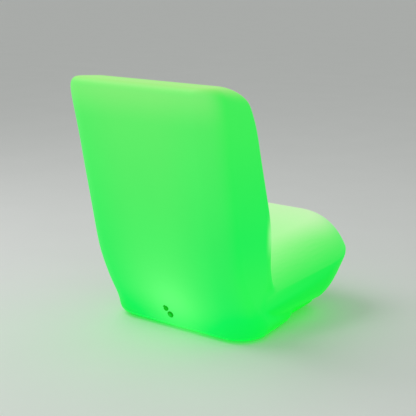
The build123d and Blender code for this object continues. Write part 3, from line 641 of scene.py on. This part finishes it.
@dataclass
class Recess:
    """A round flat-bottomed recess in the shell's outside."""

    centre: Vector
    outward: Vector
    radius: float
    depth: float
    chamfer: float = 0.0006
    behind: float = 0.008
    spare: float = 0.001

    def bar(self) -> Bar:
        """The bar that fills the recess and closes what opens from it.

        Returns:
            The bar.
        """
        length = self.depth + self.behind
        middle = self.centre - self.outward * length / 2
        return Bar(middle, self.outward, self.radius + self.spare, length)

    def cut(self, mesh: bmesh.types.BMesh) -> None:
        """Adds the turned bar that cuts the recess, flared a little at its rim.

        Args:
            mesh: The mesh that it joins.
        """
        rim = self.spare * 2
        profile = [
            (0.0, -self.depth),
            (self.radius, -self.depth),
            (self.radius, -self.chamfer),
            (self.radius + self.chamfer + rim, rim),
            (0.0, rim),
        ]
        turned(mesh, profile, self.centre, self.outward)


@dataclass(frozen=True)
class Fitting:
    """The place of a round fitting in the leaning rear face."""

    seat: Point
    radius: float
    bore: float
    bore_depth: float = 0.006
    sink: float = 0.001
    chamfer: float = 0.0004

    def recess(self) -> Recess:
        """The flat seat under the fitting's flange."""
        centre = Vector(self.seat) + FACE_OUT * self.sink
        return Recess(centre, FACE_OUT, self.radius, self.sink, self.chamfer)

    def bar(self) -> Bar:
        """The bar that closes the fitting's bore."""
        middle = Vector(self.seat) - FACE_OUT * (self.bore_depth / 2)
        return Bar(middle, FACE_OUT, self.bore, self.bore_depth)


@dataclass
class SeatShell:
    """The moulded shell: a smooth skin over the CAD form, with soft creases and crisp recesses."""

    voxel: float = 0.003
    even_rounds: int = 1
    crease_rounds: int = 30
    crease_angle: float = 0.2
    crease_above: float = 0.03
    crease_reach: int = 5
    smoothing: float = 0.5
    sharp_angle: float = 0.6
    hatch_radius: float = 0.0856
    hatch_depth: float = 0.007
    foot_radius: float = 0.0153
    foot_depth: float = 0.003
    vent_radius: float = 0.0062
    vent_height: float = 0.0115
    vent_length: float = 0.005
    switch: Fitting = Fitting((-0.005, -0.2284, 0.0543688), 0.0118, 0.0095)
    socket: Fitting = Fitting((-0.016, -0.236335, 0.0743688), 0.0093, 0.0075)
    skin: GlowAndPaintedLightSkin = GlowAndPaintedLightSkin()
    inserts: Finish = Finish(
        "insert_brass",
        (0.62, 0.42, 0.16),
        (0.42, 0.28, 0.1),
        0.32,
        Texture.TURNED,
        9000.0,
        metallic=1.0,
    )

    def build(self) -> None:
        """Makes the skin and hides the CAD shell behind it."""
        mesh = self.outside()
        piece = linked("seat_skin", mesh)
        mesh.materials.clear()
        mesh.materials.append(self.skin.material())
        mesh.shade_smooth()
        mesh.set_sharp_from_angle(angle=self.sharp_angle)
        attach(piece, "seat")
        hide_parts("seat_shell")
        log.info("seat_skin: %d faces", len(mesh.polygons))
        dress(["hatch_inserts", "foot_inserts"], self.inserts)

    def base_recesses(self) -> list[Recess]:
        """The recesses in the flat base.

        Returns:
            The hatch's recess, and then the feet's pockets.
        """
        low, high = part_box("base_hatch")
        base = low.z
        centre = Vector(((low.x + high.x) / 2, (low.y + high.y) / 2, base))
        found = [Recess(centre, DOWN, self.hatch_radius, self.hatch_depth)]
        for low, high in islands(frame["nodes"]["foot_pads"].data):
            middle = (low + high) / 2
            centre = Vector((middle.x, middle.y, base))
            found.append(Recess(centre, DOWN, self.foot_radius, self.foot_depth))
        return found

    def vent_bar(self) -> Bar:
        """The bar that closes the breather's opening.

        Returns:
            The bar.
        """
        low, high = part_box("breather_plug")
        vent = (low + high) / 2
        middle = Vector((vent.x, vent.y, self.vent_height))
        return Bar(middle, UP, self.vent_radius, self.vent_length)

    def outside(self) -> bpy.types.Mesh:
        """An even mesh of the shell's outside.

        Returns:
            The mesh.
        """
        base = self.base_recesses()
        fittings = (self.switch, self.socket)
        raw = bmesh.new()
        raw.from_mesh(frame["nodes"]["seat_shell"].data)
        bmesh.ops.remove_doubles(raw, verts=raw.verts, dist=WELD)
        bars = [recess.bar() for recess in base]
        bars += [self.vent_bar()] + [item.bar() for item in fittings]
        for bar in bars:
            bar.fill(raw)
        skin = remeshed(raw, self.voxel)
        keep_largest(skin)
        self.soften(skin)
        cutters = bmesh.new()
        for recess in base + [item.recess() for item in fittings]:
            recess.cut(cutters)
        return cut_away(skin, cutters, "seat_skin")

    def soften(self, skin: bmesh.types.BMesh) -> None:
        """Rounds the hollow creases as a moulding does, and evens out the rest a little.

        Args:
            skin: The mesh.
        """
        hollow = {v for e in skin.edges if self.is_crease(e) for v in e.verts}
        for _ in range(self.crease_reach):
            hollow |= {e.other_vert(v) for v in hollow for e in v.link_edges}
        for points, rounds in ((list(hollow), self.crease_rounds), (skin.verts, self.even_rounds)):
            for _ in range(rounds):
                bmesh.ops.smooth_vert(
                    skin,
                    verts=points,
                    factor=self.smoothing,
                    use_axis_x=True,
                    use_axis_y=True,
                    use_axis_z=True,
                )

    def is_crease(self, edge: bmesh.types.BMEdge) -> bool:
        """Says whether an edge lies in a hollow crease of the seat's outside.

        Args:
            edge: The edge.

        Returns:
            True in a crease.
        """
        if not edge.is_manifold or edge.is_convex:
            return False
        return edge.calc_face_angle() > self.crease_angle and edge.verts[0].co.z > self.crease_above


def remeshed(raw: bmesh.types.BMesh, voxel: float) -> bmesh.types.BMesh:
    """Turns closed meshes into one mesh of even squares.

    Args:
        raw: The closed meshes, which are freed.
        voxel: The size of a square.

    Returns:
        The even mesh.
    """
    mesh = bpy.data.meshes.new("raw")
    raw.to_mesh(mesh)
    raw.free()
    item = linked("raw", mesh)
    change = item.modifiers.new("remesh", "REMESH")
    change.mode = "VOXEL"
    change.voxel_size = voxel
    done = item.evaluated_get(bpy.context.evaluated_depsgraph_get()).to_mesh()
    even = bmesh.new()
    even.from_mesh(done)
    bpy.data.objects.remove(item)
    bpy.data.meshes.remove(mesh)
    return even


def turned(
    mesh: bmesh.types.BMesh, profile: Sequence[Span], centre: Vector, axis: Vector, count: int = 96
) -> None:
    """Adds a turned solid.

    Args:
        mesh: The mesh that it joins.
        profile: Pairs of radius and height along the axis, whose ends lie on the axis.
        centre: Where height 0 is.
        axis: The direction of height.
        count: The number of faces round it.
    """
    place = placed(centre, axis)
    rings = []
    for radius, height in profile:
        turns = [2 * math.pi * i / count for i in range(count if radius else 1)]
        spots = [Vector((radius * math.cos(t), radius * math.sin(t), height)) for t in turns]
        rings.append([mesh.verts.new(place @ spot) for spot in spots])
    for low, high in zip(rings, rings[1:]):
        for i in range(count):
            k = (i + 1) % count
            corners = [low[i % len(low)], low[k % len(low)]]
            corners += [high[k % len(high)], high[i % len(high)]]
            mesh.faces.new(list(dict.fromkeys(corners)))
    bmesh.ops.recalc_face_normals(mesh, faces=mesh.faces)


def cut_away(body: bmesh.types.BMesh, bars: bmesh.types.BMesh, name: str) -> bpy.types.Mesh:
    """Cuts bars out of a body.

    Args:
        body: The body, which is freed.
        bars: The bars, which are freed.
        name: The new mesh's name.

    Returns:
        What is left of the body.
    """
    items = []
    for part, label in ((body, name), (bars, "bars")):
        mesh = bpy.data.meshes.new(label)
        part.to_mesh(mesh)
        part.free()
        items.append(linked(label, mesh))
    change = items[0].modifiers.new("cut", "BOOLEAN")
    change.object = items[1]
    change.solver = "MANIFOLD"
    graph = bpy.context.evaluated_depsgraph_get()
    left = bpy.data.meshes.new_from_object(items[0].evaluated_get(graph))
    for item in items:
        mesh = item.data
        bpy.data.objects.remove(item)
        bpy.data.meshes.remove(mesh)
    left.name = name
    return left


def islands(mesh: bpy.types.Mesh) -> list[tuple[Vector, Vector]]:
    """The boxes of a mesh's separate solids.

    Args:
        mesh: The mesh.

    Returns:
        Each solid's lowest and highest corner.
    """
    work = bmesh.new()
    work.from_mesh(mesh)
    bmesh.ops.remove_doubles(work, verts=work.verts, dist=WELD)
    boxes = []
    for part in loose_parts(work):
        spots = [v.co for v in part]
        low = Vector([min(spot[i] for spot in spots) for i in range(3)])
        high = Vector([max(spot[i] for spot in spots) for i in range(3)])
        boxes.append((low, high))
    work.free()
    return boxes


def loose_parts(mesh: bmesh.types.BMesh) -> list[set[bmesh.types.BMVert]]:
    """Groups a mesh's points by the part that they belong to.

    Args:
        mesh: The mesh.

    Returns:
        The points of each part.
    """
    left = set(mesh.verts)
    parts = []
    while left:
        seed = left.pop()
        part, edge = {seed}, [seed]
        while edge:
            for link in edge.pop().link_edges:
                for other in link.verts:
                    if other in left:
                        left.discard(other)
                        part.add(other)
                        edge.append(other)
        parts.append(part)
    return parts


def keep_largest(mesh: bmesh.types.BMesh) -> None:
    """Deletes all but the loose part that reaches furthest.

    Args:
        mesh: The mesh.
    """
    parts = loose_parts(mesh)
    best = max(parts, key=lambda part: max(v.co.z for v in part) - min(v.co.z for v in part))
    spare = [v for part in parts if part is not best for v in part]
    bmesh.ops.delete(mesh, geom=spare, context="VERTS")


STEEL = Finish(
    "screw_steel",
    (0.46, 0.47, 0.48),
    (0.3, 0.31, 0.33),
    0.3,
    Texture.TURNED,
    7000.0,
    0.00002,
    metallic=1.0,
)
TINNED = Finish(
    "tinned_contact",
    (0.62, 0.6, 0.55),
    (0.45, 0.43, 0.4),
    0.28,
    Texture.BRUSHED,
    2500.0,
    0.00001,
    metallic=1.0,
)
SEAL = Finish(
    "seal_rubber",
    (0.012, 0.013, 0.014),
    (0.03, 0.031, 0.032),
    0.72,
    Texture.SPECKLED,
    1600.0,
    0.00004,
)
NYLON = Finish(
    "natural_nylon",
    (0.62, 0.6, 0.52),
    (0.5, 0.48, 0.41),
    0.45,
    Texture.GRAIN,
    1400.0,
    0.00002,
)
DARK_PLUG = Finish(
    "moulded_plug", (0.012, 0.012, 0.013), (0.025, 0.025, 0.027), 0.5, Texture.GRAIN, 1800.0
)
GREEN_BOARD = Finish(
    "green_board",
    (0.005, 0.07, 0.02),
    (0.01, 0.11, 0.035),
    0.3,
    Texture.WOVEN,
    5200.0,
    0.00001,
    coat=0.4,
)


@dataclass
class Feet:
    """Rubber pads and their screws."""

    rubber: Finish = Finish(
        "pad_rubber",
        (0.014, 0.014, 0.015),
        (0.05, 0.05, 0.05),
        0.78,
        Texture.SPECKLED,
        1300.0,
        0.00006,
    )

    def build(self) -> None:
        """Dresses the feet."""
        dress(["foot_pads"], self.rubber)
        dress(["foot_screws"], STEEL)


@dataclass
class Breather:
    """Plug and membrane that let the shell breathe."""

    plug: Finish = Finish(
        "breather_plastic", (0.015, 0.016, 0.016), (0.03, 0.03, 0.03), 0.5, scale=1500.0
    )
    film: Finish = Finish(
        "porous_film", (0.82, 0.82, 0.8), (0.7, 0.7, 0.68), 0.85, Texture.WOVEN, 9000.0
    )

    def build(self) -> None:
        """Dresses the breather."""
        dress(["breather_plug"], self.plug)
        dress(["breather_membrane"], self.film)


@dataclass
class BaseHatch:
    """Round cover of the base opening, its gasket and its screws."""

    cover: Finish = Finish(
        "hatch_plastic",
        (0.42, 0.7, 0.44),
        (0.34, 0.6, 0.37),
        0.5,
        Texture.GRAIN,
        1200.0,
        0.00008,
        glow_and_painted_light=0.22,
        glow_and_painted_light_colour=(0.02, 0.8, 0.1),
    )

    def build(self) -> None:
        """Dresses the hatch."""
        dress(["base_hatch"], self.cover)
        dress(["hatch_gasket"], SEAL)
        dress(["hatch_screws"], STEEL)


@dataclass
class LightModule:
    """Pillars, plate, light board and its opal cap."""

    brass: Finish = Finish(
        "pillar_brass",
        (0.66, 0.45, 0.17),
        (0.45, 0.3, 0.11),
        0.3,
        Texture.TURNED,
        8000.0,
        0.00002,
        metallic=1.0,
    )
    sheet: Finish = Finish(
        "plate_aluminium",
        (0.66, 0.67, 0.68),
        (0.5, 0.51, 0.52),
        0.36,
        Texture.BRUSHED,
        1600.0,
        0.00002,
        metallic=1.0,
    )
    board: Finish = Finish(
        "white_board",
        (0.8, 0.82, 0.8),
        (0.7, 0.72, 0.7),
        0.32,
        Texture.WOVEN,
        5200.0,
        0.00001,
        coat=0.4,
    )
    lights: Finish = Finish(
        "light_resin",
        (0.5, 0.8, 0.5),
        (0.4, 0.7, 0.42),
        0.2,
        Texture.GRAIN,
        2500.0,
        0.00001,
        glow_and_painted_light=4.0,
        glow_and_painted_light_colour=(0.05, 0.9, 0.14),
    )
    opal: Finish = Finish(
        "opal_cap",
        (0.72, 0.82, 0.72),
        (0.66, 0.76, 0.66),
        0.42,
        Texture.GRAIN,
        900.0,
        0.00003,
        glow_and_painted_light=1.4,
        glow_and_painted_light_colour=(0.05, 0.85, 0.13),
    )

    def build(self) -> None:
        """Dresses the module."""
        dress(["module_pillars"], self.brass)
        dress(["heat_plate"], self.sheet)
        dress(["light_board"], self.board)
        dress(["light_chips"], self.lights)
        dress(["light_plug"], NYLON)
        dress(["diffuser_dome"], self.opal)
        dress(["module_screws"], STEEL)


@dataclass
class BatteryPack:
    """Cells in their sleeve, on a tray, under a strap."""

    tray: Finish = Finish(
        "tray_plastic",
        (0.03, 0.031, 0.033),
        (0.05, 0.05, 0.052),
        0.55,
        Texture.GRAIN,
        1300.0,
        0.00005,
    )
    wrap: Finish = Finish(
        "cell_wrap", (0.02, 0.1, 0.28), (0.03, 0.14, 0.34), 0.3, Texture.BRUSHED, 900.0, 0.00002
    )
    sleeve: Finish = Finish(
        "shrunk_film",
        (0.03, 0.035, 0.22),
        (0.05, 0.05, 0.28),
        0.24,
        Texture.BRUSHED,
        500.0,
        0.00006,
        coat=0.3,
    )
    band: Finish = Finish(
        "woven_band",
        (0.01, 0.01, 0.011),
        (0.03, 0.03, 0.032),
        0.85,
        Texture.WOVEN,
        4200.0,
        0.0001,
    )

    def build(self) -> None:
        """Dresses the pack."""
        dress(["battery_tray"], self.tray)
        dress(["tray_screws"], STEEL)
        dress(["battery_cells"], self.wrap)
        dress(["battery_sleeve"], self.sleeve)
        dress(["battery_links"], TINNED)
        dress(["battery_guard"], GREEN_BOARD)
        dress(["battery_strap"], self.band)


@dataclass
class ControlUnit:
    """Driver board, its parts and its cover."""

    cover: Finish = Finish(
        "cover_plastic",
        (0.03, 0.031, 0.034),
        (0.05, 0.051, 0.055),
        0.5,
        Texture.GRAIN,
        1300.0,
        0.00006,
    )
    chips: Finish = Finish(
        "chip_resin",
        (0.012, 0.012, 0.013),
        (0.03, 0.03, 0.032),
        0.4,
        Texture.SPECKLED,
        2600.0,
        0.00002,
    )

    def build(self) -> None:
        """Dresses the unit."""
        dress(["control_board", "receiver_board"], GREEN_BOARD)
        dress(["control_parts"], self.chips)
        dress(["board_plugs"], NYLON)
        dress(["board_screws", "cover_screws"], STEEL)
        dress(["control_cover"], self.cover)


@dataclass
class PowerSwitch:
    """Press switch low on the rear, lit green by the shell round it."""

    body: Finish = Finish(
        "switch_plastic",
        (0.0, 0.1, 0.003),
        (0.001, 0.14, 0.005),
        0.45,
        Texture.GRAIN,
        2600.0,
        0.00003,
        glow_and_painted_light=1.0,
        glow_and_painted_light_colour=(0.0, 0.36, 0.002),
        sheen=0.12,
    )
    button: Finish = Finish(
        "button_plastic",
        (0.001, 0.2, 0.008),
        (0.002, 0.26, 0.012),
        0.4,
        Texture.GRAIN,
        2600.0,
        0.00002,
        glow_and_painted_light=1.0,
        glow_and_painted_light_colour=(0.0, 0.48, 0.012),
        sheen=0.16,
    )
    wire: Finish = Finish(
        "spring_steel",
        (0.5, 0.5, 0.51),
        (0.36, 0.36, 0.37),
        0.25,
        Texture.BRUSHED,
        4000.0,
        0.00001,
        metallic=1.0,
    )
    nut: Finish = Finish(
        "nut_plastic",
        (0.015, 0.015, 0.016),
        (0.03, 0.03, 0.031),
        0.5,
        scale=1500.0,
    )

    def build(self) -> None:
        """Dresses the switch."""
        dress(["switch_body"], self.body)
        dress(["switch_button"], self.button)
        dress(["switch_spring"], self.wire)
        dress(["switch_bridge", "switch_contacts"], TINNED)
        dress(["switch_seal"], SEAL)
        dress(["switch_nut", "socket_nut"], self.nut)
        dress(["switch_plug", "socket_plug"], DARK_PLUG)


@dataclass
class ChargingSocket:
    """Charging socket with its hinged dust cap."""

    # Painted light: the body's and cap's emission stands in for the green light of the shell round
    # them.
    body: Finish = Finish(
        "socket_plastic",
        (0.0, 0.1, 0.003),
        (0.001, 0.13, 0.005),
        0.45,
        Texture.GRAIN,
        2600.0,
        0.00003,
        glow_and_painted_light=1.0,
        glow_and_painted_light_colour=(0.0, 0.36, 0.002),
        sheen=0.12,
    )
    cap: Finish = Finish(
        "cap_rubber",
        (0.0, 0.12, 0.004),
        (0.002, 0.16, 0.008),
        0.6,
        Texture.SPECKLED,
        2200.0,
        0.00005,
        glow_and_painted_light=1.0,
        glow_and_painted_light_colour=(0.0, 0.4, 0.003),
        sheen=0.12,
    )

    def build(self) -> None:
        """Dresses the socket."""
        dress(["socket_body"], self.body)
        dress(["socket_cap"], self.cap)
        dress(["socket_pin", "socket_terminal"], TINNED)
        dress(["socket_seal"], SEAL)
        dress(["cap_hinge_pin"], STEEL)


@dataclass
class Leads:
    """Round leads inside the shell."""

    jacket: Finish = Finish(
        "lead_jacket", (0.012, 0.012, 0.013), (0.03, 0.03, 0.031), 0.48, scale=2200.0
    )

    def build(self) -> None:
        """Dresses the leads."""
        dress(["switch_lead", "charge_lead", "battery_lead", "light_lead"], self.jacket)


@dataclass(frozen=True)
class Lamp:
    """A soft square light."""

    name: str
    place: Point
    side: float
    watts: float


@dataclass
class Studio:
    """Floor, lights and camera."""

    azimuth: float = 0.716
    elevation: float = 0.214
    distance: float = 3.775
    target: Point = (-0.013, -0.0406, 0.365)
    pixels: float = 1171.5
    frame_pixels: float = 416.0
    sensor: float = 36.0
    floor_size: float = 160.0
    floor_colour: Colour = (0.79, 0.8, 0.79)
    floor_cloud: Colour = (0.82, 0.83, 0.82)
    floor_scale: float = 3.0
    floor_detail: float = 3.0
    floor_roughness: float = 0.7
    sky_colour: Colour = (0.8, 0.82, 0.8)
    sky_strength: float = 0.6
    lamps: tuple[Lamp, ...] = (
        Lamp("key", (-1.6, -1.2, 3.2), 2.6, 46.0),
        Lamp("fill", (2.6, -2.4, 1.8), 2.2, 12.0),
    )

    def build(self) -> None:
        """Sets up the whole studio."""
        self.camera()
        self.floor()
        for lamp in self.lamps:
            self.light(lamp)
        self.world()
        bpy.context.scene.view_settings.view_transform = "Standard"

    def camera(self) -> None:
        """Puts the camera where the photograph was taken from."""
        data = bpy.data.cameras.new("camera")
        data.sensor_width = self.sensor
        data.lens = self.pixels / self.frame_pixels * self.sensor
        item = linked("camera", data)
        level = math.cos(self.elevation)
        across, behind = math.sin(self.azimuth) * level, -math.cos(self.azimuth) * level
        away = Vector((across, behind, math.sin(self.elevation)))
        item.location = Vector(self.target) + away * self.distance
        item.rotation_euler = away.to_track_quat("Z", "Y").to_euler()
        bpy.context.scene.camera = item

    def floor(self) -> None:
        """Lays a plain pale floor."""
        half = self.floor_size / 2
        corners = [(-half, -half, 0.0), (half, -half, 0.0), (half, half, 0.0), (-half, half, 0.0)]
        mesh = bpy.data.meshes.new("floor")
        mesh.from_pydata(corners, [], [(0, 1, 2, 3)])
        item = linked("floor", mesh)
        graph = Graph("floor")
        cloud = graph.noise(graph.place(), self.floor_scale, self.floor_detail)
        colour = graph.mixed(cloud, self.floor_colour, self.floor_cloud)
        graph.set({"Base Color": colour, "Roughness": self.floor_roughness})
        mesh.materials.append(graph.material)

    def light(self, lamp: Lamp) -> None:
        """Adds a light aimed at the seat.

        Args:
            lamp: The light.
        """
        data = bpy.data.lights.new(lamp.name, "AREA")
        data.size = lamp.side
        data.energy = lamp.watts
        item = linked(lamp.name, data)
        item.location = lamp.place
        away = Vector(lamp.place) - Vector(self.target)
        item.rotation_euler = away.to_track_quat("Z", "Y").to_euler()

    def world(self) -> None:
        """Surrounds the set with a plain pale light."""
        world = bpy.data.worlds.new("studio")
        bpy.context.scene.world = world
        world.use_nodes = True
        back = world.node_tree.nodes["Background"]
        back.inputs["Color"].default_value = (*self.sky_colour, 1.0)
        back.inputs["Strength"].default_value = self.sky_strength


def main() -> None:
    """Builds everything in order."""
    logging.basicConfig(level=logging.INFO, format="%(message)s")
    parts = (
        Studio(),
        SeatShell(),
        Feet(),
        Breather(),
        BaseHatch(),
        LightModule(),
        BatteryPack(),
        ControlUnit(),
        PowerSwitch(),
        ChargingSocket(),
        Leads(),
    )
    for part in parts:
        log.info("building %s", type(part).__name__)
        part.build()


if __name__ == "__main__":
    main()
